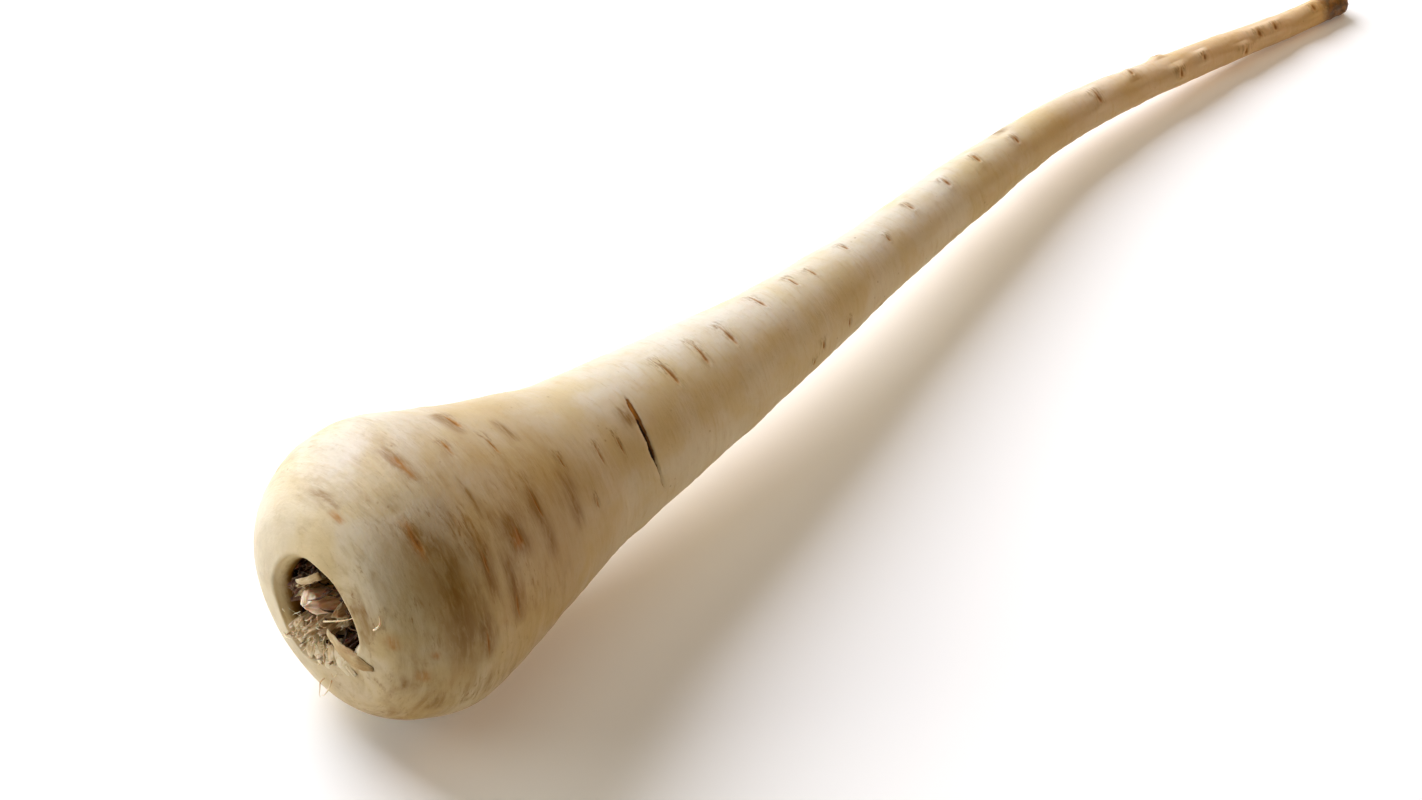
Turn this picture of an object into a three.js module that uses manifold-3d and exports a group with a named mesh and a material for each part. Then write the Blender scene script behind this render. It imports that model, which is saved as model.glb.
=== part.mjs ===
// A topped parsnip lying on its side: one fleshy taproot whose crown is hollowed round the remains
// of its leaf stalks. Millimetres, +Z up. +X runs from the crown to the tip of the tail.
import * as THREE from "three";
import { mergeVertices } from "three/addons/utils/BufferGeometryUtils.js";
import Module from "manifold-3d";

const wasm = await Module();
wasm.setup();

// ---------- driving dimensions ----------

// The root's outline, from the lip round the crown to the broken tip:
// how far along the root, how far the root bows to +Y there, and its radius.
const OUTLINE = [
  [0, 1, 15],
  [3, 1, 22.2],
  [10, 1, 27.8],
  [20, 1, 30.2],
  [32, 0.6, 27.9],
  [46, 0.5, 23.4],
  [65, 0.7, 18.4],
  [90, 1.9, 15.1],
  [120, 3.7, 11.7],
  [154, 7.7, 8.7],
  [192, 13.2, 7.1],
  [230, 16.6, 5.3],
  [268, 13.2, 4],
  [302, 8.2, 3.1],
  [317, 5.6, 2.8],
];
const STEPS_PER_SPAN = 5; // rings between two rows of the outline
const AROUND = 40; // points round each ring
const BELLY = 22; // how far along the root it is thickest, and rests
const BELLY_RADIUS = 30.2;
const TAIL_REST = 300; // how far along the tail touches the surface again
const TAIL_RADIUS = 3.2;
const REST_DEPTH = 0.7; // how much of the belly is pressed flat where it rests

// The hollow in the crown.
const HOLLOW_RADIUS = 13; // at its rim
const HOLLOW_FLOOR_RADIUS = 11.2;
const HOLLOW_DEPTH = 9;
const LIP_DROP = 1.4; // from the top of the lip down to the hollow's rim

// The remains of the leaf stalks, standing in the hollow: how far round from the top of the
// crown each one is, in degrees, how far from the hollow's axis, and how tall. No two broke off
// alike. The outer ones dried to crescents; the inner ones are younger and paler.
const OUTER_STALKS = [
  [5, 9.1, 4.2],
  [58, 9.2, 3.8],
  [108, 9, 7.2],
  [157, 8.9, 8.4],
  [-153, 8.8, 8.8],
  [-102, 8.9, 7],
  [-50, 9.1, 5.2],
];
const OUTER_SIZE = [1.5, 3.1]; // half the thickness towards the axis, and half the width
const OUTER_CURL = 0.25; // how far the edges curl towards the axis, as a share of half the width
const INNER_STALKS = [
  [75, 5, 6.8],
  [-60, 5, 8],
  [180, 5, 9],
];
const INNER_SIZE = [1.4, 3];
const INNER_CURL = 0.2;
const HEART = [0, 0, 9.6];
const HEART_SIZE = [2.7, 2.7];
const GAP = 0.3; // under each stump
const STUMP_SIDES = 14;
const STUMP_RINGS = 4;
const TOP_SHARE = 0.35; // how much of its girth a stump loses by its broken top

const SKIN = { color: 0xdcc9a0, roughness: 0.5, metalness: 0 };
const DRY_STALK = { color: 0x6b4a30, roughness: 0.9, metalness: 0 };
const PALE_STALK = { color: 0xc8b08a, roughness: 0.85, metalness: 0 };

// ---------- the root's spine ----------

const outline = new THREE.CatmullRomCurve3(
  OUTLINE.map(([along, bow, radius]) => new THREE.Vector3(along, bow, radius)),
  false,
  "catmullrom",
  0.5,
);

// The spine falls in a straight line from the belly to where the tail touches, and the rest of
// the tail lies along the surface.
function spineHeight({ x: along, z: radius }) {
  const fall = (BELLY_RADIUS - TAIL_RADIUS - REST_DEPTH) / (TAIL_REST - BELLY);
  return along < TAIL_REST ? BELLY_RADIUS - fall * (along - BELLY) : REST_DEPTH + radius;
}

// One ring of the skin: its middle, and the directions across and up, square to the spine.
function frameAt(t) {
  const here = outline.getPoint(t);
  const step = 0.002;
  const before = outline.getPoint(Math.max(t - step, 0));
  const after = outline.getPoint(Math.min(t + step, 1));
  const ahead = new THREE.Vector3(
    after.x - before.x,
    after.y - before.y,
    spineHeight(after) - spineHeight(before),
  ).normalize();
  const across = new THREE.Vector3(0, 0, 1).cross(ahead).normalize();
  const up = new THREE.Vector3().crossVectors(ahead, across);
  const middle = new THREE.Vector3(here.x, here.y, spineHeight(here));
  return { middle, ahead, across, up, radius: here.z };
}

// ---------- making solids ----------

// A closed body from rings of points: neighbouring rings are joined, and the first and last
// are each closed by a fan to their own middle.
function loft(rings) {
  const count = rings[0].length;
  const points = rings.flat();
  const faces = [];
  rings.slice(1).forEach((_, i) => {
    for (let j = 0; j < count; j += 1) {
      const a = i * count + j;
      const b = i * count + ((j + 1) % count);
      faces.push(a, b, b + count, a, b + count, a + count);
    }
  });
  [rings[0], rings[rings.length - 1]].forEach((ring, end) => {
    const middle = ring.reduce((sum, p) => sum.add(p), new THREE.Vector3());
    points.push(middle.divideScalar(count));
    const first = end * (rings.length - 1) * count;
    for (let j = 0; j < count; j += 1) {
      const a = first + j;
      const b = first + ((j + 1) % count);
      faces.push(points.length - 1, ...(end ? [a, b] : [b, a]));
    }
  });
  const geometry = new THREE.BufferGeometry().setFromPoints(points);
  geometry.setIndex(faces);
  return geometry;
}

function toSolid(geometry) {
  const bare = geometry.clone();
  bare.deleteAttribute("normal");
  bare.deleteAttribute("uv");
  const merged = mergeVertices(bare);
  return new wasm.Manifold(
    new wasm.Mesh({
      numProp: 3,
      vertProperties: merged.getAttribute("position").array,
      triVerts: new Uint32Array(merged.index.array),
    }),
  );
}

function toGeometry(solid) {
  const { vertProperties, triVerts } = solid.getMesh();
  const geometry = new THREE.BufferGeometry();
  geometry.setAttribute("position", new THREE.BufferAttribute(vertProperties, 3));
  geometry.setIndex(new THREE.BufferAttribute(triVerts, 1));
  geometry.computeVertexNormals();
  return geometry;
}

// ---------- the pieces ----------

const crown = frameAt(0);
// The crown's own frame: its X is up, its Y across, and its Z out of the hollow.
const crownFrame = new THREE.Matrix4().makeBasis(
  crown.up,
  crown.across.clone().negate(),
  crown.ahead.clone().negate(),
);
crownFrame.setPosition(crown.middle);

function makeRoot() {
  const spans = (OUTLINE.length - 1) * STEPS_PER_SPAN;
  const rings = [];
  const addRing = ({ middle, across, up, radius }, inwards = 0) => {
    const ring = [];
    for (let j = 0; j < AROUND; j += 1) {
      const turn = (j / AROUND) * 2 * Math.PI;
      ring.push(
        middle
          .clone()
          .addScaledVector(across, Math.cos(turn) * radius)
          .addScaledVector(up, Math.sin(turn) * radius)
          .addScaledVector(crown.ahead, inwards),
      );
    }
    rings.push(ring);
  };
  // The hollow: floor, wall and rim, then the lip, which the outline starts from.
  addRing({ ...crown, radius: HOLLOW_FLOOR_RADIUS }, HOLLOW_DEPTH);
  addRing({ ...crown, radius: HOLLOW_RADIUS }, LIP_DROP);
  addRing({ ...crown, radius: (HOLLOW_RADIUS + crown.radius) / 2 }, LIP_DROP / 4);
  for (let i = 0; i <= spans; i += 1) addRing(frameAt(i / spans));
  const round = toSolid(loft(rings));
  // The surface that it lies on presses the belly flat.
  const size = 400;
  const surface = new THREE.BoxGeometry(size, size, size);
  surface.translate(0, 0, REST_DEPTH - size / 2);
  return toGeometry(round.subtract(toSolid(surface)));
}

// A stump of a leaf stalk: rounded sections, curled towards the axis, that narrow towards a
// broken top.
function stumpGeometry([thick, wide], height, curl) {
  const rings = [];
  for (let i = 0; i <= STUMP_RINGS; i += 1) {
    const rise = i / STUMP_RINGS;
    const narrowing = 1 - TOP_SHARE * rise ** 2;
    const ring = [];
    for (let j = 0; j < STUMP_SIDES; j += 1) {
      const turn = (j / STUMP_SIDES) * 2 * Math.PI;
      const y = Math.sin(turn) * wide * narrowing;
      const x = Math.cos(turn) * thick * narrowing - (curl * y * y) / wide;
      ring.push(new THREE.Vector3(x, y, rise * height));
    }
    rings.push(ring);
  }
  return loft(rings);
}

function makeStump(name, [degrees, reach, height], size, curl, look) {
  const stump = new THREE.Mesh(
    stumpGeometry(size, height, curl),
    new THREE.MeshStandardMaterial(look),
  );
  const turn = THREE.MathUtils.degToRad(degrees);
  stump.name = name;
  stump.position.set(reach * Math.cos(turn), reach * Math.sin(turn), GAP - HOLLOW_DEPTH);
  stump.rotation.z = turn;
  return stump;
}

const parsnip = new THREE.Group();

const root = new THREE.Mesh(makeRoot(), new THREE.MeshStandardMaterial(SKIN));
root.name = "root";
parsnip.add(root);

const stalks = new THREE.Group();
crownFrame.decompose(stalks.position, stalks.quaternion, stalks.scale);
OUTER_STALKS.forEach((stalk, i) => {
  stalks.add(makeStump(`outer_stalk_${i + 1}`, stalk, OUTER_SIZE, OUTER_CURL, DRY_STALK));
});
INNER_STALKS.forEach((stalk, i) => {
  stalks.add(makeStump(`inner_stalk_${i + 1}`, stalk, INNER_SIZE, INNER_CURL, PALE_STALK));
});
stalks.add(makeStump("torn_heart", HEART, HEART_SIZE, 0, PALE_STALK));
parsnip.add(stalks);

// The origin is under the middle of the whole root, on the surface that it lies on.
const box = new THREE.Box3().setFromObject(parsnip);
parsnip.position.set(-(box.min.x + box.max.x) / 2, -(box.min.y + box.max.y) / 2, -box.min.z);

export default parsnip;
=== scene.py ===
import math

import bpy
import numpy as np
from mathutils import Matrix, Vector


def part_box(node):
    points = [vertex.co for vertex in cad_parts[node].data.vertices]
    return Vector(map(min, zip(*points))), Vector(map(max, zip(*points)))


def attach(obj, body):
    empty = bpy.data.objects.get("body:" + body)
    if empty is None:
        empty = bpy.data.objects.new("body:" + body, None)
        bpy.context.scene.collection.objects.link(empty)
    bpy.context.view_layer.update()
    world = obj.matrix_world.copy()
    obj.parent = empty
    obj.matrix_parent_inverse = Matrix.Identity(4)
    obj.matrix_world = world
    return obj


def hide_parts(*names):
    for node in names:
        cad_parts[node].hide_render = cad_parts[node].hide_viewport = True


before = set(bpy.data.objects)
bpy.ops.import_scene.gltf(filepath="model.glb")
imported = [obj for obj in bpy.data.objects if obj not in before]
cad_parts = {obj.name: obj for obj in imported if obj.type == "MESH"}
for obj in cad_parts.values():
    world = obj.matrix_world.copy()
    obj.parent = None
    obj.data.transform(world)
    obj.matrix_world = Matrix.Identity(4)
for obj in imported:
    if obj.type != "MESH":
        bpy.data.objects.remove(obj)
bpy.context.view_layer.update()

MM = 0.001

# ---------- sizes, the same as the solid model's ----------

# How far along the root, how far it bows to +Y there, and its radius.
OUTLINE = [
    (0, 1, 15), (3, 1, 22.2), (10, 1, 27.8), (20, 1, 30.2), (32, 0.6, 27.9),
    (46, 0.5, 23.4), (65, 0.7, 18.4), (90, 1.9, 15.1), (120, 3.7, 11.7), (154, 7.7, 8.7),
    (192, 13.2, 7.1), (230, 16.6, 5.3), (268, 13.2, 4), (302, 8.2, 3.1), (317, 5.6, 2.8),
]
BELLY, BELLY_RADIUS = 22, 30.2
TAIL_REST, TAIL_RADIUS = 300, 3.2
REST_DEPTH = 0.7

# The hollow of the crown from the middle of its floor to the lip, and the broken end of the
# tail: how far along and how far from the middle.
HOLLOW = [(9, 0.05), (9.2, 5), (8.7, 9.4), (6.4, 11.1), (3.4, 11.9), (1.3, 12.6), (0.3, 13.6)]
TIP = [(317.5, 2.3), (317.1, 1.2), (317.3, 0.05)]

# Where the hollow's lip swells inwards: degrees round from the +Y side over the top, half the
# angle of the swelling, and its depth.
LIP_SWELLS = [(226, 64, 3.3), (0, 100, 2.0)]

# Stumps of leaf stalks: degrees round from the top of the crown, distance from its axis and
# height, with half the thickness and half the width.
HOLLOW_DEPTH = 9
OUTER_STALKS = [
    (5, 9.1, 4.2), (58, 9.2, 3.8), (108, 9, 7.2), (157, 8.9, 8.4), (-153, 8.8, 8.8),
    (-102, 8.9, 7), (-50, 9.1, 5.2),
]
OUTER_SIZE = (1.5, 3.1)
INNER_STALKS = [(75, 5, 6.8), (-60, 5, 8), (180, 5, 9)]
INNER_SIZE = (1.4, 3)
HEART = (0, 0, 9.6)
HEART_SIZE = (2.7, 2.7)

# ---------- numbers that vary over a surface ----------

LATTICE = 32


def hills(points, size, seed, octaves=1):
    """Soft random hills from about -1 to 1: random heights on a cubic lattice whose cells are
    size wide, blended by a smooth step, plus octaves of half the size and half the height."""
    heights = np.random.default_rng(seed).uniform(-1, 1, (LATTICE, LATTICE, LATTICE))
    total = 0
    for octave in range(octaves):
        place = points * (2**octave / size) + 7.3 * octave
        cell = np.floor(place).astype(int)
        part = place - cell
        part = part * part * (3 - 2 * part)
        for corner in np.ndindex(2, 2, 2):
            share = np.prod(np.where(corner, part, 1 - part), axis=-1)
            i, j, k = np.moveaxis((cell + corner) % LATTICE, -1, 0)
            total = total + share * heights[i, j, k] / 2**octave
    return total


def step_up(value, low, high):
    """0 below low, 1 above high, and a smooth climb between them."""
    part = np.clip((value - low) / (high - low), 0, 1)
    return part * part * (3 - 2 * part)


def through(rows, steps):
    """A smooth line through the rows: between two rows a cubic whose slope at each row is half
    the way from the row before it to the row after it."""
    rows = np.asarray(rows, float)
    padded = np.vstack([2 * rows[0] - rows[1], rows, 2 * rows[-1] - rows[-2]])
    spans = len(rows) - 1
    place = np.linspace(0, spans, spans * steps + 1)
    span = np.minimum(place.astype(int), spans - 1)
    t = (place - span)[:, None]
    a, b, c, d = (padded[span + i] for i in range(4))
    cubic = (c - a) * t + (2 * a - 5 * b + 4 * c - d) * t**2 + (3 * b - a - 3 * c + d) * t**3
    return b + cubic / 2


# ---------- the root's spine ----------

LINE_STEPS = 60  # points between two rows of a drawn line
outline = through(OUTLINE, LINE_STEPS)


def spine(along):
    """The middle of the root at each distance along it. It falls in a straight line from the
    belly to where the tail touches, and from there the tail lies along the surface."""
    bow = np.interp(along, outline[:, 0], outline[:, 1])
    radius = np.interp(along, outline[:, 0], outline[:, 2])
    fall = (BELLY_RADIUS - TAIL_RADIUS - REST_DEPTH) / (TAIL_REST - BELLY)
    height = np.where(
        along < TAIL_REST, BELLY_RADIUS - fall * (along - BELLY), REST_DEPTH + radius
    )
    return np.stack([along, bow, height], -1)


def spine_frame(along):
    """The spine's middle at each distance along, and unit vectors ahead, across and up."""
    reach = 0.5  # how far off the line's direction is measured
    near = np.clip(along, reach, OUTLINE[-1][0] - reach)
    ahead = spine(near + reach) - spine(near - reach)
    ahead /= np.linalg.norm(ahead, axis=-1, keepdims=True)
    across = np.cross((0, 0, 1), ahead)
    across /= np.linalg.norm(across, axis=-1, keepdims=True)
    return spine(along), ahead, across, np.cross(ahead, across)


# The row's origin is under the middle of the solid root, on the surface that it lies on. Along
# the root, the solid root's box starts at the edge of its tilted lip.
crown_middle, crown_ahead, crown_across, crown_up = (v[0] for v in spine_frame(np.array([0.0])))
lip_low = OUTLINE[0][2] * crown_up[0]
root_low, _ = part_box("root")
SHIFT = np.array([root_low[0] / MM + lip_low, -OUTLINE[0][1], -REST_DEPTH])


def from_crown(points):
    """Points in the crown's own frame, x up, y across and z out of the hollow, in the row's."""
    axes = np.stack([crown_up, -crown_across, -crown_ahead])
    return points @ axes + crown_middle + SHIFT


# ---------- putting surfaces into meshes ----------


def new_piece(name, points, faces, material):
    """A smooth mesh piece from points in millimetres, riding on the root."""
    mesh = bpy.data.meshes.new(name)
    mesh.from_pydata(np.asarray(points) * MM, [], faces)
    mesh.polygons.foreach_set("use_smooth", np.ones(len(mesh.polygons), bool))
    mesh.materials.append(material)
    piece = bpy.data.objects.new(name, mesh)
    bpy.context.scene.collection.objects.link(piece)
    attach(piece, "root")
    return piece


def grid_faces(rows, around):
    """Four-sided faces between neighbouring rings, and a fan at each end to one point more."""
    i, j = np.meshgrid(np.arange(rows - 1), np.arange(around), indexing="ij")
    k = (j + 1) % around
    sides = np.stack([i, i, i + 1, i + 1]) * around + np.stack([j, k, k, j])
    faces = sides.reshape(4, -1).T.tolist()
    j = np.arange(around)
    k = (j + 1) % around
    first = np.full(around, rows * around)
    last = first + 1
    ends = (rows - 1) * around
    faces += np.stack([first, k, j], 1).tolist()
    faces += np.stack([last, ends + j, ends + k], 1).tolist()
    return faces


def with_ends(grid):
    """The grid's values as one list, with the mean of the first ring and of the last added."""
    flat = grid.reshape(-1, *grid.shape[2:])
    return np.concatenate([flat, grid[:1].mean(1), grid[-1:].mean(1)])


def store(piece, name, values):
    """Keeps a number or a vector for each point of the piece, for its material to read."""
    kind, field = ("FLOAT_VECTOR", "vector") if values.ndim == 2 else ("FLOAT", "value")
    kept = piece.data.attributes.new(name, kind, "POINT")
    kept.data.foreach_set(field, values.astype(np.float32).ravel())


def paint(piece, **grids):
    """Stores each grid's values on the piece that was made from such a grid."""
    for name, grid in grids.items():
        store(piece, name, with_ends(grid))


# ---------- materials ----------


def tone(red, green, blue):
    """A colour given as it looks on a screen, 0 to 255, as the light it gives back."""
    return (*(((c / 255 + 0.055) / 1.055) ** 2.4 for c in (red, green, blue)), 1)


def give(tree, socket, value):
    """Sets an input to a value, or joins it to another node's output."""
    if isinstance(value, bpy.types.NodeSocket):
        tree.links.new(value, socket)
    else:
        socket.default_value = value


def add(tree, kind, inputs=(), **settings):
    """A shader node with its settings, and each input set to a value or joined to an output."""
    node = tree.nodes.new("ShaderNode" + kind)
    for key, value in settings.items():
        setattr(node, key, value)
    for key, value in dict(inputs).items():
        give(tree, node.inputs[key], value)
    return node


def noise(tree, vector, scale, detail=2, rough=0.5, warp=0):
    """Noise from 0 to 1 over a vector."""
    values = {"Vector": vector, "Scale": scale, "Detail": detail, "Roughness": rough}
    return add(tree, "TexNoise", {**values, "Distortion": warp}).outputs["Fac"]


def band(tree, value, low, high, to_low=0, to_high=1):
    """A value taken from the range low to high to another range, with a smooth climb."""
    values = {"Value": value, "From Min": low, "From Max": high}
    values.update({"To Min": to_low, "To Max": to_high})
    return add(tree, "MapRange", values, interpolation_type="SMOOTHSTEP").outputs["Result"]


def maths(tree, operation, first, second=0.0):
    """One sum of two numbers."""
    return add(tree, "Math", {0: first, 1: second}, operation=operation).outputs[0]


def times(tree, first, *others):
    """Numbers multiplied together."""
    for other in others:
        first = maths(tree, "MULTIPLY", first, other)
    return first


def blend(tree, share, under, over):
    """One colour over another, by a share from 0 to 1."""
    node = add(tree, "Mix", {0: share}, data_type="RGBA")
    for socket, value in (("A_Color", under), ("B_Color", over)):
        give(tree, next(s for s in node.inputs if s.identifier == socket), value)
    return next(s for s in node.outputs if s.identifier == "Result_Color")


def layer(tree, name):
    """What a piece stores under a name: its vector and its number."""
    node = add(tree, "Attribute", attribute_name=name)
    return node.outputs["Vector"], node.outputs["Fac"]


def new_group(name, inputs, outputs):
    """An empty shader node group with numbered and vector sockets."""
    tree = bpy.data.node_groups.new(name, "ShaderNodeTree")
    for socket, kind, value in inputs:
        made = tree.interface.new_socket(socket, in_out="INPUT", socket_type=kind)
        if value is not None:
            made.default_value = value
    for socket in outputs:
        tree.interface.new_socket(socket, in_out="OUTPUT", socket_type="NodeSocketFloat")
    return tree, tree.nodes.new("NodeGroupInput").outputs, tree.nodes.new("NodeGroupOutput")


def make_fibre_grain():
    """Plant fibres: fine streaks that run along the vector's z, with a coarser mottling."""
    number, vector = "NodeSocketFloat", "NodeSocketVector"
    inputs = [("Vector", vector, None), ("Fineness", number, 1.0), ("Contrast", number, 0.5)]
    tree, given, out = new_group("fibre_grain", inputs, ["Streaks", "Mottling", "Height"])
    stretched = add(tree, "Mapping", {"Vector": given["Vector"], "Scale": (1, 1, 0.16)})
    fine = add(tree, "VectorMath", {0: stretched.outputs[0]}, operation="SCALE")
    tree.links.new(given["Fineness"], fine.inputs["Scale"])
    streaks = noise(tree, fine.outputs[0], 1800, 3, 0.6, 0.4)
    coarse = noise(tree, given["Vector"], 420, 3, 0.6)
    low = maths(tree, "SUBTRACT", 0.5, times(tree, given["Contrast"], 0.4))
    high = maths(tree, "ADD", 0.5, times(tree, given["Contrast"], 0.4))
    edged = add(tree, "MapRange", {"Value": streaks, "From Min": low, "From Max": high})
    tree.links.new(edged.outputs["Result"], out.inputs["Streaks"])
    tree.links.new(coarse, out.inputs["Mottling"])
    height = maths(tree, "ADD", streaks, times(tree, coarse, 0.6))
    tree.links.new(height, out.inputs["Height"])
    return tree


def place_group(tree, group, **inputs):
    """A group in a material, with its own values."""
    node = tree.nodes.new("ShaderNodeGroup")
    node.node_tree = group
    for key, value in inputs.items():
        give(tree, node.inputs[key], value)
    return node.outputs


def new_material(name):
    """A material, its nodes and its main shader."""
    material = bpy.data.materials.new(name)
    material.use_nodes = True
    tree = material.node_tree
    return material, tree, tree.nodes["Principled BSDF"]


def bump(tree, shader, height, distance, strength=1.0):
    """A bump of the given depth in metres, joined to the shader's normal."""
    values = {"Height": height, "Distance": distance, "Strength": strength}
    tree.links.new(add(tree, "Bump", values).outputs["Normal"], shader.inputs["Normal"])


def set_all(shader, **values):
    """Sets the shader's own sockets to values that are the same all over."""
    for key, value in values.items():
        shader.inputs[key.replace("_", " ")].default_value = value


IVORY = tone(219, 202, 164)
# The colour of the lip's painted highlight.
PAINTED_HIGHLIGHT_IVORY = tone(226, 210, 172)
CREAM = tone(211, 186, 131)
TAN = tone(188, 149, 78)
OLIVE = tone(138, 96, 24)
RUST = tone(176, 112, 22)
CORK = tone(130, 80, 18)
BARK = tone(56, 31, 12)
BLUSH = tone(192, 142, 98)
# The colour of the painted shade on the shaded -Y shoulder.
SHADE_TAN = tone(172, 132, 58)
TAIL_TAN = tone(216, 158, 72)

SKIN_RELIEF, STALK_RELIEF, FIBRE_RELIEF = 0.00022, 0.0003, 0.00005  # bumps, in metres

# What the root's mesh stores for each of its points, from 0 to 1.
MASKS = (
    "scar", "halo", "crack", "gap", "stain", "rust", "bloom", "rim", "hollow", "head", "tail",
    "tip",
)


def skin_flesh(tree, place, grain, masks):
    """The skin between its marks: ivory clouded with cream and tan, with fine rings round the
    root, earth on the head, and flecks and pores all over. Returns the colour and the rings."""
    clouds = noise(tree, place, 55, 4, 0.55, 0.3)
    colour = blend(tree, band(tree, clouds, 0.36, 0.66), IVORY, CREAM)
    warm = noise(tree, place, 24, 3, 0.6)
    colour = blend(tree, band(tree, warm, 0.48, 0.75, 0, 0.3), colour, TAN)
    rings = noise(tree, grain, 1.0, 4, 0.62, 0.2)
    colour = blend(tree, band(tree, rings, 0.5, 0.8, 0, 0.35), colour, TAN)

    # Smears and scratches of earth lie in patches on the head, thinned on the side that faces the
    # key light: partly as seen, partly painted light that makes that side lighter.
    patches = band(tree, noise(tree, place, 75, 4, 0.6), 0.38, 0.64, 0.2, 0.85)
    patches = times(tree, patches, masks["head"])
    smears = band(tree, noise(tree, grain, 0.55, 4, 0.65, 0.5), 0.4, 0.68)
    colour = blend(tree, times(tree, smears, patches), colour, OLIVE)
    scratches = band(tree, noise(tree, grain, 1.9, 5, 0.7, 0.3), 0.54, 0.68)
    colour = blend(tree, times(tree, scratches, patches, 0.9), colour, CORK)

    flecks = noise(tree, grain, 3.1, 3, 0.7)
    colour = blend(tree, band(tree, flecks, 0.62, 0.78, 0, 0.35), colour, OLIVE)
    pores = add(tree, "TexVoronoi", {"Vector": place, "Scale": 520.0}, feature="F1")
    dots = band(tree, pores.outputs["Distance"], 0.05, 0.2, 1, 0)
    sparse = band(tree, noise(tree, place, 190, 2), 0.56, 0.7)
    colour = blend(tree, times(tree, dots, sparse, 0.5), colour, CORK)

    # A faint blush; a painted highlight makes the lip paler on its lit +Y side, painted shade makes
    # the shaded -Y shoulder browner, and the tail is browner.
    blush = band(tree, noise(tree, place, 90, 3, 0.6), 0.6, 0.78, 0, 0.2)
    colour = blend(tree, blush, colour, BLUSH)
    # A painted highlight: the lip is paler on its +Y side, which faces the key light.
    colour = blend(tree, times(tree, masks["rim"], 0.6), colour, PAINTED_HIGHLIGHT_IVORY)
    colour = blend(tree, times(tree, masks["bloom"], 0.72), colour, SHADE_TAN)
    colour = blend(tree, times(tree, masks["tail"], 0.5), colour, TAIL_TAN)
    return colour, rings


def skin_marks(tree, colour, place, grain, masks):
    """The marks that the mesh stores, laid over the skin's colour, with their edges broken by
    noise. Returns the colour, where there is a scar, and where the skin is dry."""
    ragged = noise(tree, place, 650, 4, 0.65)
    patchy = noise(tree, grain, 0.9, 4, 0.65, 0.4)

    def shaken(mask, shake, low, high):
        """A stored mask, its strength shaken by noise before its edge is drawn."""
        shake = times(tree, maths(tree, "SUBTRACT", ragged, 0.5), shake)
        return band(tree, maths(tree, "ADD", mask, shake), low, high)

    def mottled(mask, most):
        """A stored mask, soft at its edge and broken into drawn-out patches."""
        patches = band(tree, patchy, 0.3, 0.62, 0.25, 1)
        return times(tree, mask, patches, most)

    colour = blend(tree, mottled(masks["stain"], 0.95), colour, OLIVE)
    colour = blend(tree, mottled(masks["rust"], 1.0), colour, RUST)

    # Each scar is corky, with a frayed halo round it; the crack is torn and dark in its gap.
    frayed = band(tree, noise(tree, grain, 2.4, 4, 0.7, 0.4), 0.42, 0.66)
    colour = blend(tree, times(tree, masks["halo"], frayed, 0.75), colour, OLIVE)
    scar = shaken(masks["scar"], 0.7, 0.12, 0.9)
    scar_colour = blend(tree, band(tree, masks["scar"], 0.45, 1.0), RUST, CORK)
    colour = blend(tree, times(tree, scar, 0.9), colour, scar_colour)
    crack = shaken(masks["crack"], 0.5, 0.3, 0.75)
    torn = blend(tree, band(tree, masks["crack"], 0.7, 1.5), CORK, RUST)
    torn = blend(tree, shaken(masks["gap"], 0.4, 0.25, 0.6), torn, BARK)
    colour = blend(tree, crack, colour, torn)

    # The wall of the hollow is bark brown, darker with depth: partly its own colour, partly painted
    # shade in the recess. The broken tip is bark brown too.
    deep = shaken(masks["hollow"], 0.45, 0.2, 0.9)
    wall = blend(tree, band(tree, ragged, 0.4, 0.62), BARK, CORK)
    colour = blend(tree, shaken(masks["hollow"], 0.3, 0.0, 0.35), colour, OLIVE)
    colour = blend(tree, deep, colour, wall)
    broken = shaken(masks["tip"], 0.8, 0.25, 0.8)
    colour = blend(tree, times(tree, broken, 0.85), colour, wall)
    dry = maths(tree, "MAXIMUM", maths(tree, "MAXIMUM", scar, crack), deep)
    return colour, scar, dry


def make_skin():
    """Waxy parsnip skin: ivory to cream in soft clouds, drawn out round the root, tan towards
    the tail, brown on scars and stains, and near black in cracks. Painted shade browns the shaded
    -Y shoulder and, with the wall's own brown, the hollow; a painted highlight makes the lip paler
    on its lit +Y side."""
    material, tree, shader = new_material("parsnip_skin")
    place = add(tree, "TexCoord").outputs["Object"]
    grain, _ = layer(tree, "grain")
    masks = {name: layer(tree, name)[1] for name in MASKS}
    colour, rings = skin_flesh(tree, place, grain, masks)
    colour, scar, dry = skin_marks(tree, colour, place, grain, masks)
    tree.links.new(colour, shader.inputs["Base Color"])

    gloss = band(tree, noise(tree, place, 140, 3), 0.3, 0.7, 0.4, 0.54)
    roughness = maths(tree, "ADD", gloss, times(tree, dry, 0.35))
    tree.links.new(roughness, shader.inputs["Roughness"])
    set_all(shader, Subsurface_Weight=0.14, Subsurface_Scale=0.0025)
    set_all(shader, IOR=1.5, Specular_IOR_Level=0.22)
    shader.inputs["Subsurface Radius"].default_value = (1.0, 0.55, 0.25)

    height = maths(tree, "ADD", rings, times(tree, noise(tree, place, 900, 3), 0.35))
    height = maths(tree, "SUBTRACT", height, times(tree, scar, 0.5))
    bump(tree, shader, height, SKIN_RELIEF, 0.8)
    return material


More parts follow.
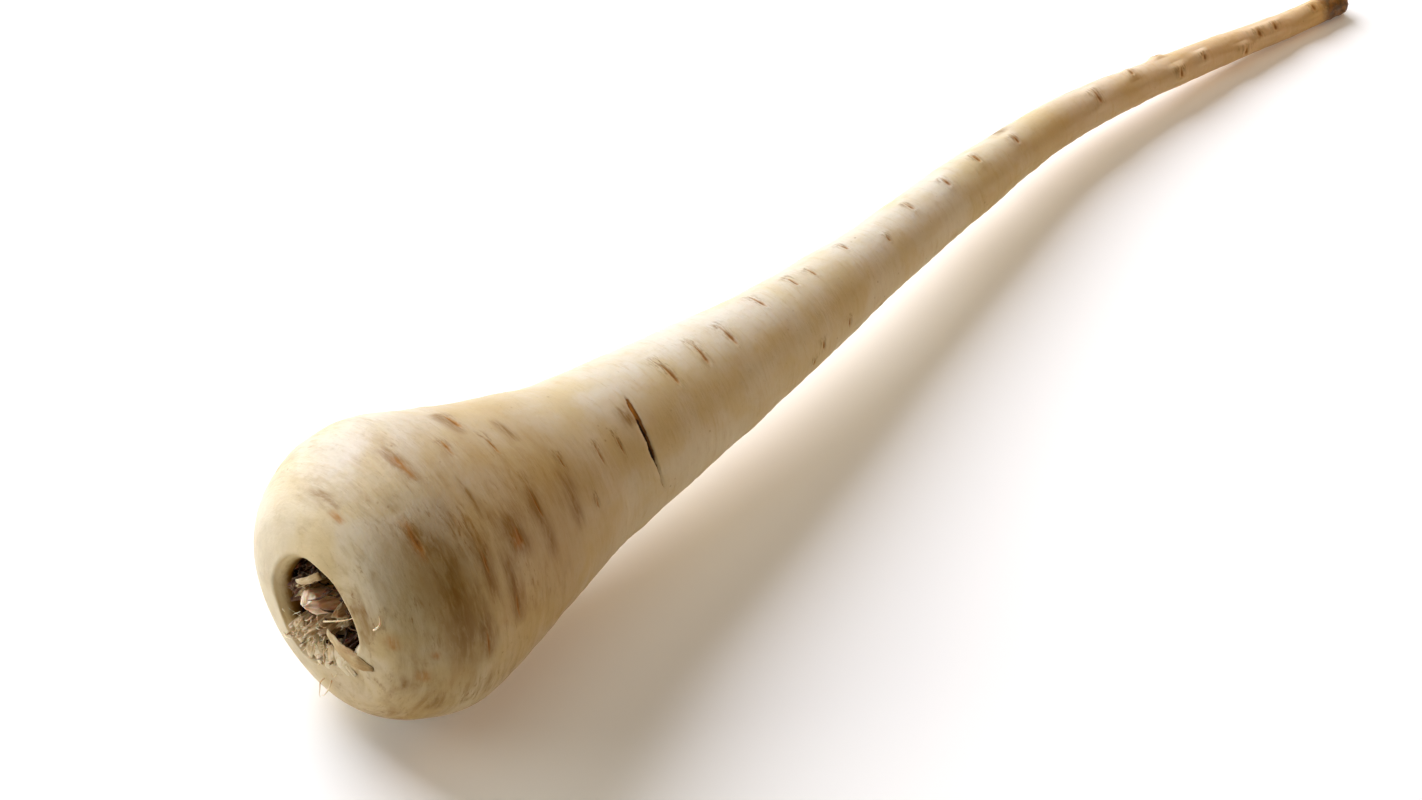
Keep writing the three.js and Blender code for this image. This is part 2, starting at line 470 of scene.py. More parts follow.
def make_stalk(name, dark, mid, light, group, fineness=1.0, glow=0.1):
    """Dried or torn leaf stalk: fibres from dark to light, lightest where it tore."""
    material, tree, shader = new_material(name)
    grain, _ = layer(tree, "grain")
    torn = layer(tree, "torn")[1]
    fibres = place_group(tree, group, Vector=grain, Fineness=fineness, Contrast=0.45)
    colour = blend(tree, fibres["Streaks"], dark, mid)
    share = times(tree, band(tree, fibres["Mottling"], 0.35, 0.65), 0.5)
    share = maths(tree, "ADD", share, times(tree, torn, 0.6))
    colour = blend(tree, band(tree, share, 0.3, 0.9), colour, light)
    tree.links.new(colour, shader.inputs["Base Color"])
    roughness = band(tree, fibres["Mottling"], 0.3, 0.7, 0.75, 0.95)
    tree.links.new(roughness, shader.inputs["Roughness"])
    set_all(shader, Subsurface_Weight=glow, Subsurface_Scale=0.002)
    bump(tree, shader, fibres["Height"], STALK_RELIEF)
    return material


def make_fibre():
    """Loose fibres: pale straw, browner in places."""
    material, tree, shader = new_material("loose_fibre")
    place = add(tree, "TexCoord").outputs["Object"]
    mottling = noise(tree, place, 300, 2)
    colour = blend(tree, band(tree, mottling, 0.35, 0.7), tone(240, 220, 174), tone(206, 168, 112))
    tree.links.new(colour, shader.inputs["Base Color"])
    roughness = band(tree, mottling, 0.3, 0.7, 0.55, 0.75)
    tree.links.new(roughness, shader.inputs["Roughness"])
    set_all(shader, Subsurface_Weight=0.35, Subsurface_Scale=0.0015)
    bump(tree, shader, noise(tree, place, 3000, 2), FIBRE_RELIEF)
    return material


fibre_grain = make_fibre_grain()
skin = make_skin()
dry_stalk = make_stalk(
    "dry_stalk", tone(40, 26, 16), tone(88, 62, 40), tone(150, 122, 88), fibre_grain
)
mauve_stalk = make_stalk(
    "mauve_stalk", tone(96, 66, 50), tone(142, 106, 86), tone(176, 144, 116), fibre_grain
)
pale_stalk = make_stalk(
    "pale_stalk", tone(176, 140, 84), tone(212, 184, 132), tone(230, 210, 168), fibre_grain, 0.8
)
# The heart's pink flesh is painted paler, as painted light for light the hollow keeps from it.
heart_flesh_painted_light = make_stalk(
    "heart_flesh_painted_light", tone(228, 190, 150), tone(238, 204, 164), tone(244, 220, 184), fibre_grain,
    0.4, 0.5,
)
tan_stalk = make_stalk(
    "tan_stalk", tone(154, 114, 58), tone(190, 156, 98), tone(214, 188, 136), fibre_grain, 0.8
)
loose_fibre = make_fibre()

# ---------- the root ----------

ROOT_RINGS = 815
ROOT_AROUND = 116
RING_SPACING = (0.36, 0.3, 0.56)  # in the hollow, near a scar, and along the rest
SCAR_REACH = 1.1  # a ring this near to a scar counts as near it

# Thin corky scars where side roots grew: how far along, how far round in degrees from the +Y
# side over the top, half the length round the root, and half the width along it.
SCARS = [
    (87, 105, 4.3, 0.50), (97, 103, 4.1, 0.50), (106, 101, 3.6, 0.50), (120, 84, 3.2, 0.48),
    (131, 84, 2.4, 0.44), (136.5, 88, 2.0, 0.39), (149, 80, 2.0, 0.39), (159.5, 110, 1.4, 0.34),
    (171, 90, 1.9, 0.41), (184, 96, 1.8, 0.46), (196, 92, 1.8, 0.46), (209, 106, 1.7, 0.48),
    (238, 116, 2.0, 0.57), (251, 88, 1.3, 0.46), (262, 46, 1.1, 0.52), (264, 148, 1.4, 0.63),
    (272, 130, 1.1, 0.52), (285, 166, 1.2, 0.69), (290, 122, 1.3, 0.69), (295, 120, 1.2, 0.69),
    (308, 108, 1.2, 0.69), (128, 170, 1.6, 0.41), (138, 170, 1.5, 0.41), (125, 182, 1.3, 0.41),
    (36, 81, 3.6, 0.60), (29, 96, 2.4, 0.40), (38.3, 101, 3.2, 0.34), (38.6, 131, 5.0, 0.30),
    (22.3, 141, 3.4, 0.40), (31.4, 139, 3.0, 0.50), (50, 122, 2.2, 0.30), (60, 128, 2.6, 0.30),
    (66, 130, 2.8, 0.30), (54, 150, 1.6, 0.30), (27, 162, 4.0, 0.30), (18, 170, 4.4, 0.30),
    (11.6, 122, 3.6, 0.60),
]
TAIL_SCARS = slice(8, 21)  # the scars in a row down the tail, each on a knuckle
CRACK = (73.4, 143.5, 12.2, 0.28)  # the one long crack: the same four numbers
CRACK_BEND = 2.2  # how far its ends lie further along the root than its middle
# Soft stains and rusty spots: the same four numbers.
STAINS = [
    (13.5, 150, 17.0, 3.0), (17.5, 162, 10.0, 2.0), (22, 144, 8.0, 1.8), (31, 138, 6.0, 2.6),
    (27, 156, 9.0, 1.6), (5.5, 82, 5.0, 0.7), (18, 94, 6.0, 1.1), (35, 82, 5.0, 1.4),
    (3.5, 188, 2.2, 0.6), (9, 200, 4.0, 1.2), (71, 118, 3.0, 1.6), (26, 120, 5.0, 0.9),
    (44, 96, 4.0, 0.9), (38, 142, 8.0, 1.6), (48, 140, 7.0, 1.4),
]
RUSTS = [
    (11.4, 123, 5.0, 0.8), (2.5, 162, 1.8, 0.8), (6, 182, 1.6, 0.9), (30.5, 142, 2.0, 0.6),
    (18, 98, 3.4, 0.5), (4.6, 94, 2.2, 0.4), (8, 170, 1.2, 0.6),
]
# Painted shade: a broad brown darkening on the -Y shoulder and round the lip below it, the side
# that the key light doesn't reach.
SHOULDER_SHADE_PATCHES = [(37, 150, 46, 27), (12, 154, 32, 11), (8, 194, 32, 8)]
HIDDEN_MARKS = 64
# How far the skin is pushed out or in: shares of the radius, then millimetres.
LUMPS, SWELLS = 0.016, 0.012
WRINKLES, KNUCKLES = 0.06, 0.6
SCAR_RING, SCAR_SINK = 0.16, 0.2  # the skin stands up round a scar, and the scar is sunk
CRACK_SINK, GAP_SINK = 0.3, 0.9
WALL_RAGGED, LIP_RAGGED, TIP_RAGGED = 0.7, 0.45, 0.35
# The head's side that faces the key light; fewer smears there paint it lighter.
KEY_FACING_TURN = 60  # degrees round from the +Y side over the top, where the head has fewer smears


def hidden_marks(seed, widths, sizes):
    """More marks on the sides away from the listed ones, in loose rows; they get
    shorter as the root gets thinner."""
    rng = np.random.default_rng(seed)
    along = np.sort(rng.uniform(10, 312, HIDDEN_MARKS))
    row = rng.choice([-75, -20, 30, 235], HIDDEN_MARKS)
    turn = row + rng.normal(0, 12, HIDDEN_MARKS)
    radius = np.interp(along, outline[:, 0], outline[:, 2])
    length = np.clip(radius * 0.2, 1, 4) * rng.uniform(*sizes, HIDDEN_MARKS)
    return np.stack([along, turn, length, rng.uniform(*widths, HIDDEN_MARKS)], 1)


def marks(rows, along, turn, radius, waver, lean=0.0, spread=1.0, bend=0.0):
    """The strongest of the marks at each point. Each is a bell along the root, with rounded
    ends round it, on a line that wavers a little. With some lean it is broader and stronger
    towards its lower end; spread makes all of them wider, and bend moves their ends further
    along the root than their middle."""
    total = np.zeros_like(along)
    for place, degrees, length, width in rows:
        away = (turn - degrees + 180) % 360 - 180
        round_by = np.radians(away) * radius / (length * (0.7 + 0.3 * spread))
        growth = 1 - lean + lean * step_up(round_by, -1, 0.6)
        middle = place + bend * (round_by**2 - 0.5) - waver * min(length, 4) * 0.14
        along_by = (along - middle) / (width * growth * spread)
        ends = np.clip(1 - np.abs(round_by) ** 3, 0, 1)
        total = np.maximum(total, np.exp(-(along_by**2)) * ends * growth)
    return total


def root_profile():
    """Rings from the middle of the hollow's floor, over the lip, to the broken tip: how far
    along, and the radius. They are spaced by the length of the line itself."""
    line = through(HOLLOW + [(a, r) for a, _, r in OUTLINE] + TIP, LINE_STEPS)
    step = np.linalg.norm(np.diff(line, axis=0), axis=1)
    in_hollow, near_scar, elsewhere = RING_SPACING
    placed = np.array([row[0] for row in [*SCARS, CRACK]])
    close = np.abs(line[1:, :1] - placed).min(1) < SCAR_REACH
    step /= np.where(close, near_scar, elsewhere)
    in_crown = np.arange(len(step)) < (len(HOLLOW) + 1) * LINE_STEPS
    step *= np.where(in_crown, elsewhere / in_hollow, 1)
    length = np.concatenate([[0], np.cumsum(step)])
    even = np.linspace(0, length[-1], ROOT_RINGS)
    return np.interp(even, length, line[:, 0]), np.interp(even, length, line[:, 1])


def root_ground():
    """The bare root: each ring is a circle square to the spine, and the lip swells inwards in
    places. Returns how far along and how far round each point is, its radius, whether it is
    inside the hollow, the points, and their outward normals."""
    along_line, radius_line = root_profile()
    middle, _, across, up = spine_frame(along_line)
    degrees = np.arange(ROOT_AROUND) * 360 / ROOT_AROUND
    along, turn = np.meshgrid(along_line, degrees, indexing="ij")
    radius = np.repeat(radius_line[:, None], ROOT_AROUND, 1)
    lip_ring = np.argmin(along_line[: ROOT_RINGS // 4])
    inside = np.arange(ROOT_RINGS)[:, None] < lip_ring
    near_lip = np.where(inside, step_up(6 - along, 0, 3.5), step_up(20 - radius, 0, 5.5))
    for swollen, half, swell in LIP_SWELLS:
        away = np.abs((turn - swollen + 180) % 360 - 180) / half
        radius = radius - swell * near_lip * (along < 6.5) * step_up(1 - away, 0, 0.8)
    cos, sin = np.cos(np.radians(turn)), np.sin(np.radians(turn))
    reach = cos[..., None] * across[:, None] + sin[..., None] * up[:, None]
    ground = middle[:, None] + radius[..., None] * reach

    # Outward normals, from the steps down and round the grid.
    down = np.gradient(ground, axis=0)
    side = np.roll(ground, -1, 1) - np.roll(ground, 1, 1)
    normal = np.cross(side, down)
    normal /= np.linalg.norm(normal, axis=2, keepdims=True)
    return along, turn, radius, inside, ground, normal


def make_root():
    """The bare root's surface is pushed out and in along its own normal by lumps, rings, scars,
    cracks and the ragged wall of the hollow, and pressed flat where it rests."""
    along, turn, radius, inside, ground, normal = root_ground()
    cos, sin = np.cos(np.radians(turn)), np.sin(np.radians(turn))

    # Shares from 0 to 1: down the hollow, and over the body, the head and the tail.
    depth = np.where(inside, along, 0) / HOLLOW_DEPTH
    body = np.where(inside, 0, 1) * step_up(along, 0, 12)
    # Fewer smears where the head faces the key light, partly painted light on that side.
    key_facing = step_up(np.cos(np.radians(turn - KEY_FACING_TURN)), 0.3, 0.95)
    head = np.where(inside, 0, 1) * step_up(62 - along, 0, 40) * (1 - 0.6 * key_facing)
    tail = step_up(along, 190, 290)
    # Points on an even tube, so that hills over them are as fine on the tail as on the head.
    seamless = np.stack([along, cos * 9, sin * 9], -1)
    waver = hills(seamless, 4, 21, 2)

    def outer_marks(rows, *args):
        """Marks on the outside only."""
        return np.where(inside, 0, marks(rows, along, turn, radius, waver, *args))

    scar_rows = [*SCARS, *hidden_marks(11, (0.3, 0.55), (0.5, 1.2))]
    scar = outer_marks(scar_rows, 0.55)
    halo = np.clip(outer_marks(scar_rows, -0.7, 2.0) - scar, 0, 1)
    waver = waver + 0.5 * hills(seamless, 1.3, 22, 2)
    crack = outer_marks([CRACK], -1.2, 1, CRACK_BEND)
    gap = outer_marks([CRACK], -0.3, 0.75, CRACK_BEND) * step_up(turn, 112, 130)
    # Painted shade on the shaded -Y shoulder and the lip below it, a little uneven.
    bloom = outer_marks(SHOULDER_SHADE_PATCHES) * (0.75 + 0.25 * hills(seamless, 7, 24, 2))
    stain = outer_marks([*STAINS, *hidden_marks(12, (0.8, 2.4), (0.8, 2.2))[::3]])
    rust = outer_marks([*RUSTS, *hidden_marks(13, (0.5, 1.1), (0.5, 1.4))[::3]])

    # How far each point is pushed out, in millimetres.
    size = np.clip(radius, 3, 30)
    lumps = LUMPS * size * hills(ground, 24, 1, 2) * body
    swells = SWELLS * size * hills(seamless * (1, 0.25, 0.25), 9, 2, 2) * body
    swells = swells * (1 + 2.2 * step_up(along, 120, 230))
    wrinkles = WRINKLES * hills(seamless * (1, 0.35, 0.35), 1.5, 3, 2) * body
    knuckles = KNUCKLES * outer_marks(SCARS[TAIL_SCARS], 0, 4) * step_up(along, 130, 240)
    push = lumps + swells + wrinkles + knuckles
    push = push + SCAR_RING * halo * body - SCAR_SINK * scar * body
    push -= CRACK_SINK * np.clip(crack, 0, 1) + GAP_SINK * gap

    ragged = np.stack([cos * 9, sin * 9, along * 0.35], -1)
    wall = WALL_RAGGED * hills(ragged, 2.2, 5, 2) * step_up(depth, 0.15, 0.6)
    push += np.where(inside, wall, 0)
    lip = np.exp(-(((radius - 15) / 4) ** 2)) * (along < 6)
    push += LIP_RAGGED * lip * hills(np.stack([cos * 8, sin * 8, along], -1), 6, 6, 2)
    tip = step_up(along, 306, 315.5)
    push += TIP_RAGGED * step_up(along, 311, 315) * (0.2 + hills(ground, 1.4, 8, 3))

    points = ground + normal * push[..., None] + SHIFT
    points[..., 2] = np.maximum(points[..., 2], 0)
    root = new_piece(
        "root_skin", with_ends(points), grid_faces(ROOT_RINGS, ROOT_AROUND), skin
    )
    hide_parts("root")
    # The grain's vector moves about five times as far for a step along the root as for one
    # round it, so the grain is drawn out round the root.
    stretch = np.stack([along * 0.9, cos * 2.2 * size / 12, sin * 2.2 * size / 12], -1)
    paint(
        root,
        grain=stretch,
        scar=scar,
        halo=halo,
        crack=crack,
        gap=gap,
        stain=stain,
        rust=rust,
        # Painted shade on the shaded -Y shoulder and round the lip below it.
        bloom=np.clip(bloom, 0, 1),
        # A painted highlight near the lip, strongest on the +Y side, which faces the key light.
        rim=np.where(inside, 0, step_up(12 - along, 0, 10) * step_up(cos - 0.2 * sin, -0.5, 0.9)),
        # Darker down the hollow's wall: its own brown and painted shade in the recess.
        hollow=np.where(inside, step_up(depth, 0.02, 0.6), 0),
        head=head,
        tail=tail,
        tip=tip,
    )


# ---------- stumps of the leaf stalks ----------

STUMP_AROUND = 56
STUMP_SIDE_RINGS = 26
STUMP_TOP_RINGS = 10
STUMP_RIDGES = ((7, 0.1), (13, 0.07))  # how many run up it, and their height in its girths
# How uneven the rim is, how far the pith sinks inside it and how rough the pith is, as shares
# of the stump's height, and how far the stump reaches into the flesh under it.
RIM_RAGGED, PITH_SINK, PITH_ROUGH = 0.22, 0.18, 0.07
STUMP_FOOT = 0.6


def make_stump(
    node, stalk, size, curl, look, seed, dome=0.0, lean=0.5, narrow=0.3, ridge=1.0
):
    """A stump stands up from the hollow's floor. Each ring is an ellipse, curled towards the
    axis, with ridges that run up it; it narrows and leans outwards towards a torn rim whose
    height varies round it, and inside the rim the torn pith sinks, or swells where dome is
    more than the sinking."""
    degrees, reach, height = stalk
    thick, wide = size
    rng = np.random.default_rng(seed)
    phases = rng.uniform(0, 2 * math.pi, len(STUMP_RIDGES))
    turn = np.arange(STUMP_AROUND) * 2 * math.pi / STUMP_AROUND
    side = np.linspace(0, 1, STUMP_SIDE_RINGS)
    top = np.linspace(0, 1, STUMP_TOP_RINGS + 1)[1:]
    rise = np.concatenate([side, np.ones(STUMP_TOP_RINGS)])[:, None]
    inwards = np.concatenate([np.zeros(STUMP_SIDE_RINGS), top])[:, None]
    circle = np.stack([np.cos(turn), np.sin(turn), 0 * turn], -1)[None]
    ridges = sum(
        tall * np.cos(count * turn + phase) for (count, tall), phase in zip(STUMP_RIDGES, phases)
    )
    rough = hills(circle * 1.6 + (0, 0, 1) * rise[..., None] * 1.2, 0.5, seed, 2)
    girth = (1 - narrow * rise**2) * (1 + ridge * ridges * (0.4 + rise) + 0.1 * rough)
    girth = girth * (1 - inwards * 0.97)
    x = np.cos(turn) * thick * girth
    y = np.sin(turn) * wide * girth
    x = x - curl * y * y / wide + lean * rise**2
    rim = 1 + RIM_RAGGED * ridge * hills(circle * 1.9, 0.7, seed + 1, 3) * step_up(rise, 0.4, 1)
    sink = (dome - PITH_SINK) * np.sin(inwards * math.pi / 2)
    torn = hills(np.stack([x, y, 0 * x], -1), 0.6, seed + 2, 2)
    torn = torn * PITH_ROUGH * ridge * (inwards > 0)
    z = height * (rise * rim + sink + torn) - HOLLOW_DEPTH - STUMP_FOOT * (1 - rise)
    cos, sin = math.cos(math.radians(degrees)), math.sin(math.radians(degrees))
    local = np.stack([(reach + x) * cos - y * sin, (reach + x) * sin + y * cos, z], -1)
    faces = grid_faces(STUMP_SIDE_RINGS + STUMP_TOP_RINGS, STUMP_AROUND)
    piece = new_piece(node + "_torn", from_crown(with_ends(local)), faces, look)
    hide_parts(node)
    grain = np.stack([x, y, z], -1) * MM
    frayed = step_up(rise + inwards + 0.2 * rough, 0.75, 1.3)
    paint(piece, grain=grain, torn=frayed)


OUTER_CURL, INNER_CURL = 0.25, 0.2
# What each outer stump looks like, and how far its top leans outwards.
OUTER_LOOKS = [
    (dry_stalk, 0.3), (dry_stalk, 0.3), (dry_stalk, 0.4), (pale_stalk, 1.3), (pale_stalk, 1.4),
    (mauve_stalk, 0.8), (dry_stalk, 0.3),
]
for index, (stalk, (look, lean)) in enumerate(zip(OUTER_STALKS, OUTER_LOOKS)):
    node, seed = f"outer_stalk_{index + 1}", 40 + 5 * index
    make_stump(node, stalk, OUTER_SIZE, OUTER_CURL, look, seed, lean=lean)
for index, stalk in enumerate(INNER_STALKS):
    node, seed = f"inner_stalk_{index + 1}", 90 + 5 * index
    make_stump(node, stalk, INNER_SIZE, INNER_CURL, pale_stalk, seed)
# The heart is nearly smooth: its rim is sunk, its top swells, and it leans up and to +Y.
sunk_heart = (-50, 0.4, HEART[2] * 0.84)
make_stump(
    "torn_heart", sunk_heart, HEART_SIZE, 0, heart_flesh_painted_light, 130,
    dome=0.36, lean=2, narrow=0.05, ridge=0.3,
)

# ---------- loose fibres ----------

# How many rings of points, and how many points in each.
FIBRE_GRID = (8, 5)
STRIP_GRID = (18, 12)
GRAIN_STEP = 3.7  # how far the grain moves from one strand to the next
# How many fibres, how far from the crown's axis they stay, and the first one's seed: the pale
# ones, and the dark ones.
FIBRE_COUNT, FIBRE_REACH, FIBRE_SEED = 110, 13, 200
CRUMB_COUNT, CRUMB_REACH, CRUMB_SEED = 180, 11.2, 500
TORN_PATCH, TORN_SPREAD = np.array((-7.2, -0.5)), np.array((2.2, 3.6))  # where the pale ones start
# Where strips lap over the lip: degrees round from the top of the crown.
STRIP_TURNS = (112, 124, 134, 143, 152, 160, 168, 177, 185, 194, 204, 214)


def strand(
    start, middle, end, width, flat=1.0, curl=0.4, taper=0.75, seed=0, grid=FIBRE_GRID, point=1.0
):
    """One fibre or strip: rings round a parabola drawn by three points, shaken sideways a
    little. The rings are ellipses, flatter out of the crown's plane, and shrink to the end;
    point is the share of the width that it starts with. Returns the rings of points in the
    crown's frame."""
    rings, sides = grid
    rng = np.random.default_rng(seed)
    start, middle, end = (np.asarray(p, float) for p in (start, middle, end))
    t = np.linspace(0, 1, rings)[:, None]
    path = start * (1 - t) ** 2 + 2 * middle * t * (1 - t) + end * t**2
    wave = rng.normal(0, 1, (2, 3))
    path = path + curl * (wave[0] * np.sin(5 * t) + wave[1] * np.sin(8 * t)) * t * 0.3
    ahead = np.gradient(path, axis=0)
    ahead /= np.linalg.norm(ahead, axis=1, keepdims=True)
    side = np.cross(ahead, (0.09, 0.07, 0.99))
    side /= np.linalg.norm(side, axis=1, keepdims=True)
    other = np.cross(side, ahead)[:, None]
    turn = (np.arange(sides) * 2 * math.pi / sides)[None, :, None]
    pointed = point + (1 - point) * step_up(t, 0, 0.3)
    thin = width / 2 * (pointed * (1 - taper * t**2))[:, None]
    ridged = 1 + 0.3 * (1 - flat) * hills(path[:, None] + np.cos(turn) * side[:, None], 0.6, 3)
    thin = thin * ridged[..., None]
    return path[:, None] + thin * (np.cos(turn) * side[:, None] + flat * np.sin(turn) * other)


def make_strands(name, strands, look):
    """Many fibres or strips of one grid size as one piece, with the grain along each."""
    rings, sides = strands[0].shape[:2]
    points = from_crown(np.concatenate([with_ends(grid) for grid in strands]))
    one, count = grid_faces(rings, sides), rings * sides + 2
    firsts = range(0, len(strands) * count, count)
    faces = [[first + corner for corner in face] for first in firsts for face in one]
    piece = new_piece(name, points, faces, look)
    turn = np.arange(sides) * 2 * math.pi / sides
    share = np.broadcast_to(np.linspace(0, 1, rings)[:, None], (rings, sides))
    grain = with_ends(np.stack([np.cos(turn) + 0 * share, np.sin(turn) + 0 * share, 7 * share], -1))
    moved = grain[None] + GRAIN_STEP * np.arange(len(strands))[:, None, None]
    store(piece, "grain", moved.reshape(-1, 3) * MM)
    store(piece, "torn", np.tile(with_ends(share), len(strands)))


def on_lip(x, y, lift):
    """A point in the crown's frame, lifted off the skin round the hollow."""
    first = slice(0, 4 * LINE_STEPS)
    return x, y, lift - np.interp(math.hypot(x, y), outline[first, 2], outline[first, 0])


def crown_fibres():
    """Fibres torn from the stumps: each starts on top of a pale stump, and most fall towards
    the bottom of the crown."""
    rng = np.random.default_rng(5)
    strands = []
    for seed in range(FIBRE_SEED, FIBRE_SEED + FIBRE_COUNT):
        x, y = TORN_PATCH + TORN_SPREAD * rng.normal(0, 1, 2)
        start = np.array([x, y, rng.uniform(-2, -0.3)])
        drop = np.array([rng.normal(-1.4, 1.6), rng.normal(0, 1.8), rng.uniform(-0.2, 1.3)])
        middle = start + drop * 0.5 + rng.normal(0, 0.6, 3) + (0, 0, 0.5)
        end = start + drop
        end[:2] *= FIBRE_REACH / max(np.linalg.norm(end[:2]), FIBRE_REACH)
        width = rng.uniform(0.14, 0.34)
        strands.append(strand(start, middle, end, width, curl=0.5, seed=seed))
    return strands


def dark_fibres():
    """Dry crumbs and fibres in the bottom of the hollow, between the stumps."""
    rng = np.random.default_rng(23)
    strands = []
    for seed in range(CRUMB_SEED, CRUMB_SEED + CRUMB_COUNT):
        turn, reach = rng.uniform(0, 2 * math.pi), CRUMB_REACH * math.sqrt(rng.uniform())
        start = np.array([reach * math.cos(turn), reach * math.sin(turn), rng.uniform(-7, -3)])
        drop = rng.normal(0, 1.7, 3) + (0, 0, 0.8)
        middle = start + drop * 0.5 + rng.normal(0, 0.8, 3)
        end = start + drop
        end[:2] *= CRUMB_REACH / max(np.linalg.norm(end[:2]), CRUMB_REACH)
        strands.append(strand(start, middle, end, rng.uniform(0.3, 0.9), 0.6, seed=seed))
    return strands


def lip_strips():
    """Strips of torn stalk that lap from the stumps over the bottom of the lip."""
    rng = np.random.default_rng(17)
    strips = []
    for degrees in STRIP_TURNS:
        turn = math.radians(degrees + rng.normal(0, 2))
        cos, sin = math.cos(turn), math.sin(turn)
        far = rng.uniform(11.2, 14.2)
        start = (7.2 * cos, 7.2 * sin - 0.4, rng.uniform(-1.6, -0.6))
        middle = (10 * cos, 10 * sin, rng.uniform(0.3, 0.9))
        width = rng.uniform(2.2, 3.4)
        end = on_lip(far * cos, far * sin + rng.normal(0, 0.6), -0.6)
        strips.append(strand(start, middle, end, width, 0.24, 0.3, 0.6, degrees, STRIP_GRID))
    return strips


def broad_strip():
    """The broad strip that runs out over the lip on the -Y side, from its tip inwards."""
    tip, middle, root = on_lip(-1.8, 16.8, 0), (-2.8, 10.2, 1.1), (-2.6, 3, -0.9)
    return strand(tip, middle, root, 3.8, 0.28, 0.1, 0.6, 0, STRIP_GRID, 0.3)


def stray_fibres():
    """The few longer fibres: one across the gap on the -Y side, two below the lip, and a curl
    of skin beside it."""
    rows = [
        ((0, 2.5, -0.4), (4, 7, 0.6), (8.4, 12.2, -0.2), 0.4),
        (on_lip(-13.4, 5.4, 0.1), (-17, 5.4, 1.2), (-19.6, 2.6, 0.6), 0.34),
        (on_lip(-14.5, 3.2, 0.1), (-16, 2.2, 1.6), (-18.2, 4.0, 1.4), 0.3),
        (on_lip(8, 16.4, 0), on_lip(10.4, 18.6, 0.9), on_lip(11.6, 17.0, 0), 0.5),
    ]
    return [strand(a, b, c, width, seed=400 + i) for i, (a, b, c, width) in enumerate(rows)]


def curled_flap():
    """The flap of torn stalk that curls across the top of the hollow."""
    tip, middle, root = (3, -6.9, -1.4), (6.2, -3.2, 0.6), (9.2, -0.2, -1.8)
    return strand(root, middle, tip, 1.6, 0.4, 0.2, 0.5, 7, STRIP_GRID)


make_root()
make_strands("torn_fibres", crown_fibres(), loose_fibre)
make_strands("stray_fibres", stray_fibres(), loose_fibre)
make_strands("dark_fibres", dark_fibres(), dry_stalk)
make_strands("lip_strips", lip_strips(), pale_stalk)
make_strands("broad_strip", [broad_strip()], tan_stalk)
make_strands("curled_flap", [curled_flap()], pale_stalk)

# ---------- floor, lights and camera ----------

FLOOR_SIZE = 8.0
FAR_GLOW = (0.45, 1.4)  # from where the far part of the floor is kept pale, and where it all is
NEAR_GLOW = 0.16  # how much of that glow the rest has, which softens the shadow
FLOOR_GLOW = 0.85  # the strength of it
FLOOR_TINTS = (0.93, 0.87, 0.68, 1), (0.95, 0.89, 0.7, 1)
WALL = (0.9, 0.9, 0.89, 1)
CAMERA_PLACE = (-0.3933, -0.3557, 0.5089)
CAMERA_HEADING = math.radians(46.38)
CAMERA_DIP = math.radians(45)
CAMERA_LENS = 85


def make_floor():
    """A wide pale floor, with a faint cloudiness. Its far part, which the lights don't reach,
    glows as palely as the wall behind it, by its distance from the middle."""
    half = FLOOR_SIZE / 2
    corners = [(-half, -half, 0), (half, -half, 0), (half, half, 0), (-half, half, 0)]
    mesh = bpy.data.meshes.new("floor")
    mesh.from_pydata(corners, [], [(0, 1, 2, 3)])
    material, tree, shader = new_material("floor_white")
    place = add(tree, "TexCoord").outputs["Object"]
    colour = blend(tree, noise(tree, place, 3, 2), *FLOOR_TINTS)
    tree.links.new(colour, shader.inputs["Base Color"])
    far = add(tree, "VectorMath", {0: place}, operation="LENGTH").outputs["Value"]
    glow = blend(tree, band(tree, far, *FAR_GLOW, NEAR_GLOW), (0, 0, 0, 1), WALL)
    tree.links.new(glow, shader.inputs["Emission Color"])
    set_all(shader, Roughness=0.7, Specular_IOR_Level=0.2, Emission_Strength=FLOOR_GLOW)
    mesh.materials.append(material)
    floor = bpy.data.objects.new("floor", mesh)
    bpy.context.scene.collection.objects.link(floor)


def soft_light(name, place, size, power, colour=(1, 1, 1)):
    """A square soft light at a place, aimed at the root's middle."""
    data = bpy.data.lights.new(name, "AREA")
    data.size = size
    data.energy = power
    data.color = colour
    light = bpy.data.objects.new(name, data)
    light.location = place
    light.rotation_euler = (-Vector(place)).to_track_quat("-Z", "Y").to_euler()
    bpy.context.scene.collection.objects.link(light)


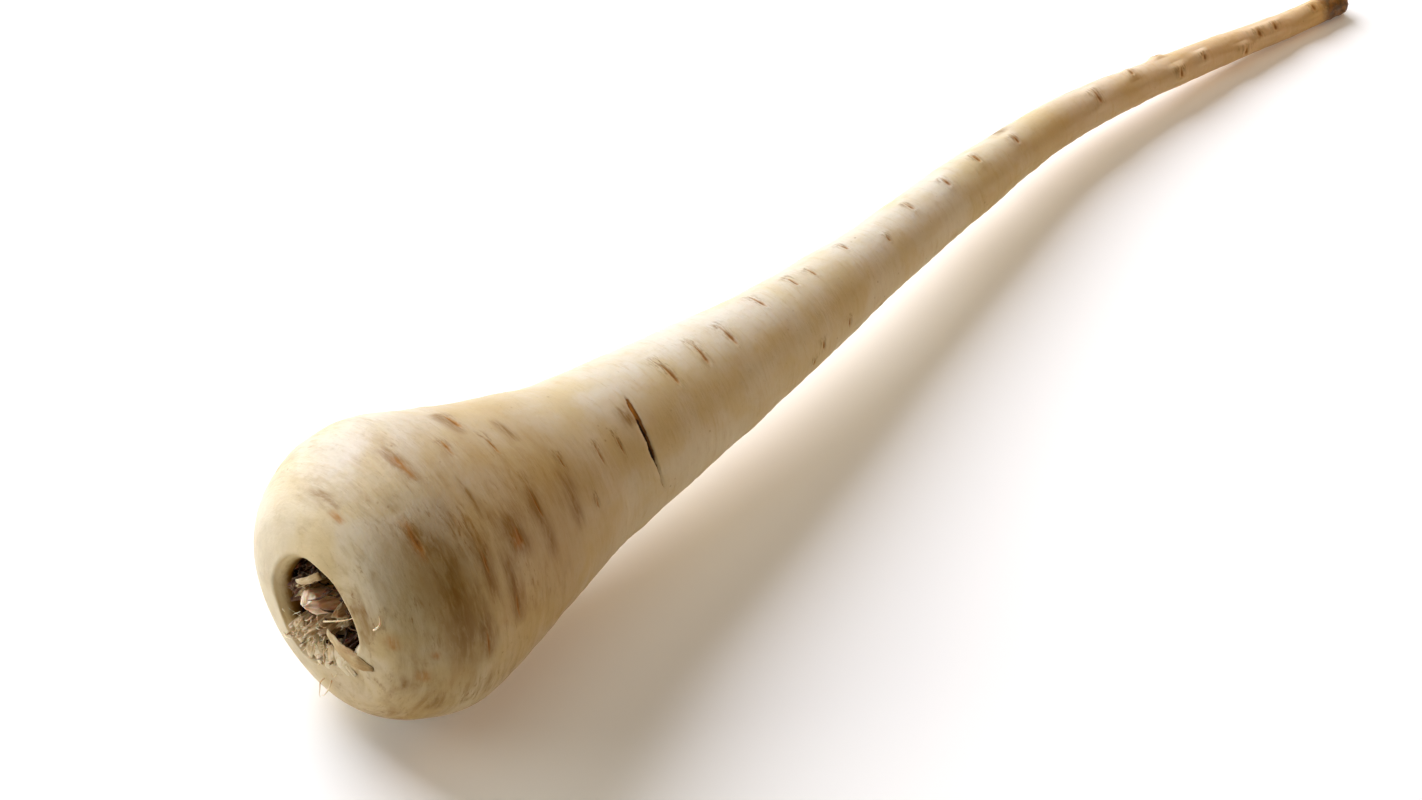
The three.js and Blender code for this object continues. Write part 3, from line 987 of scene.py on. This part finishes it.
def from_camera(right, back, up):
    """A place given as it looks to the camera: to the right, away from it, and up."""
    cos, sin = math.cos(CAMERA_HEADING), math.sin(CAMERA_HEADING)
    return (sin * right + cos * back, -cos * right + sin * back, up)


def make_camera():
    """The camera, dipped at the root's middle."""
    data = bpy.data.cameras.new("camera")
    data.lens = CAMERA_LENS
    data.clip_start = 0.05
    camera = bpy.data.objects.new("camera", data)
    camera.location = CAMERA_PLACE
    flat = math.cos(CAMERA_DIP)
    look = (
        flat * math.cos(CAMERA_HEADING), flat * math.sin(CAMERA_HEADING), -math.sin(CAMERA_DIP)
    )
    camera.rotation_euler = Vector(look).to_track_quat("-Z", "Y").to_euler()
    bpy.context.scene.collection.objects.link(camera)
    bpy.context.scene.camera = camera


# The key stands behind on the left; each light's place, size, power and colour.
SOFT_LIGHTS = {
    "key": ((-1.2, 1.27, 1.5), 1.5, 99, (0.66, 0.72, 1)),
    "left_rim": ((-2.4, 0, 0.75), 1.4, 32, (0.84, 0.88, 1)),
    "back_rim": ((0, 2.4, 0.75), 1.4, 16, (0.6, 0.78, 1)),
    "top_fill": ((0.3, 0.2, 2.4), 1.8, 11.5, (0.78, 0.87, 0.96)),
    "warm_fill": ((0.75, 0.15, 0.55), 0.6, 1.7, (1, 0.46, 0.04)),
}
AMBIENT = {"Color": (1, 0.7, 0.35, 1), "Strength": 0.015}

make_floor()
for name, (place, size, power, colour) in SOFT_LIGHTS.items():
    soft_light(name, from_camera(*place), size, power, colour)
world = bpy.data.worlds.new("studio")
world.use_nodes = True
world_tree = world.node_tree
ambient = world_tree.nodes["Background"]
set_all(ambient, **AMBIENT)
# Past the edge of the floor the eye meets a pale wall; the light in the room stays dim and warm.
wall = add(world_tree, "Background", {"Color": WALL})
seen = add(world_tree, "LightPath").outputs["Is Camera Ray"]
either = add(world_tree, "MixShader", {0: seen, 1: ambient.outputs[0], 2: wall.outputs[0]})
world_out = world_tree.nodes["World Output"]
world_tree.links.new(either.outputs[0], world_out.inputs["Surface"])
bpy.context.scene.world = world
bpy.context.scene.view_settings.view_transform = "Standard"
make_camera()
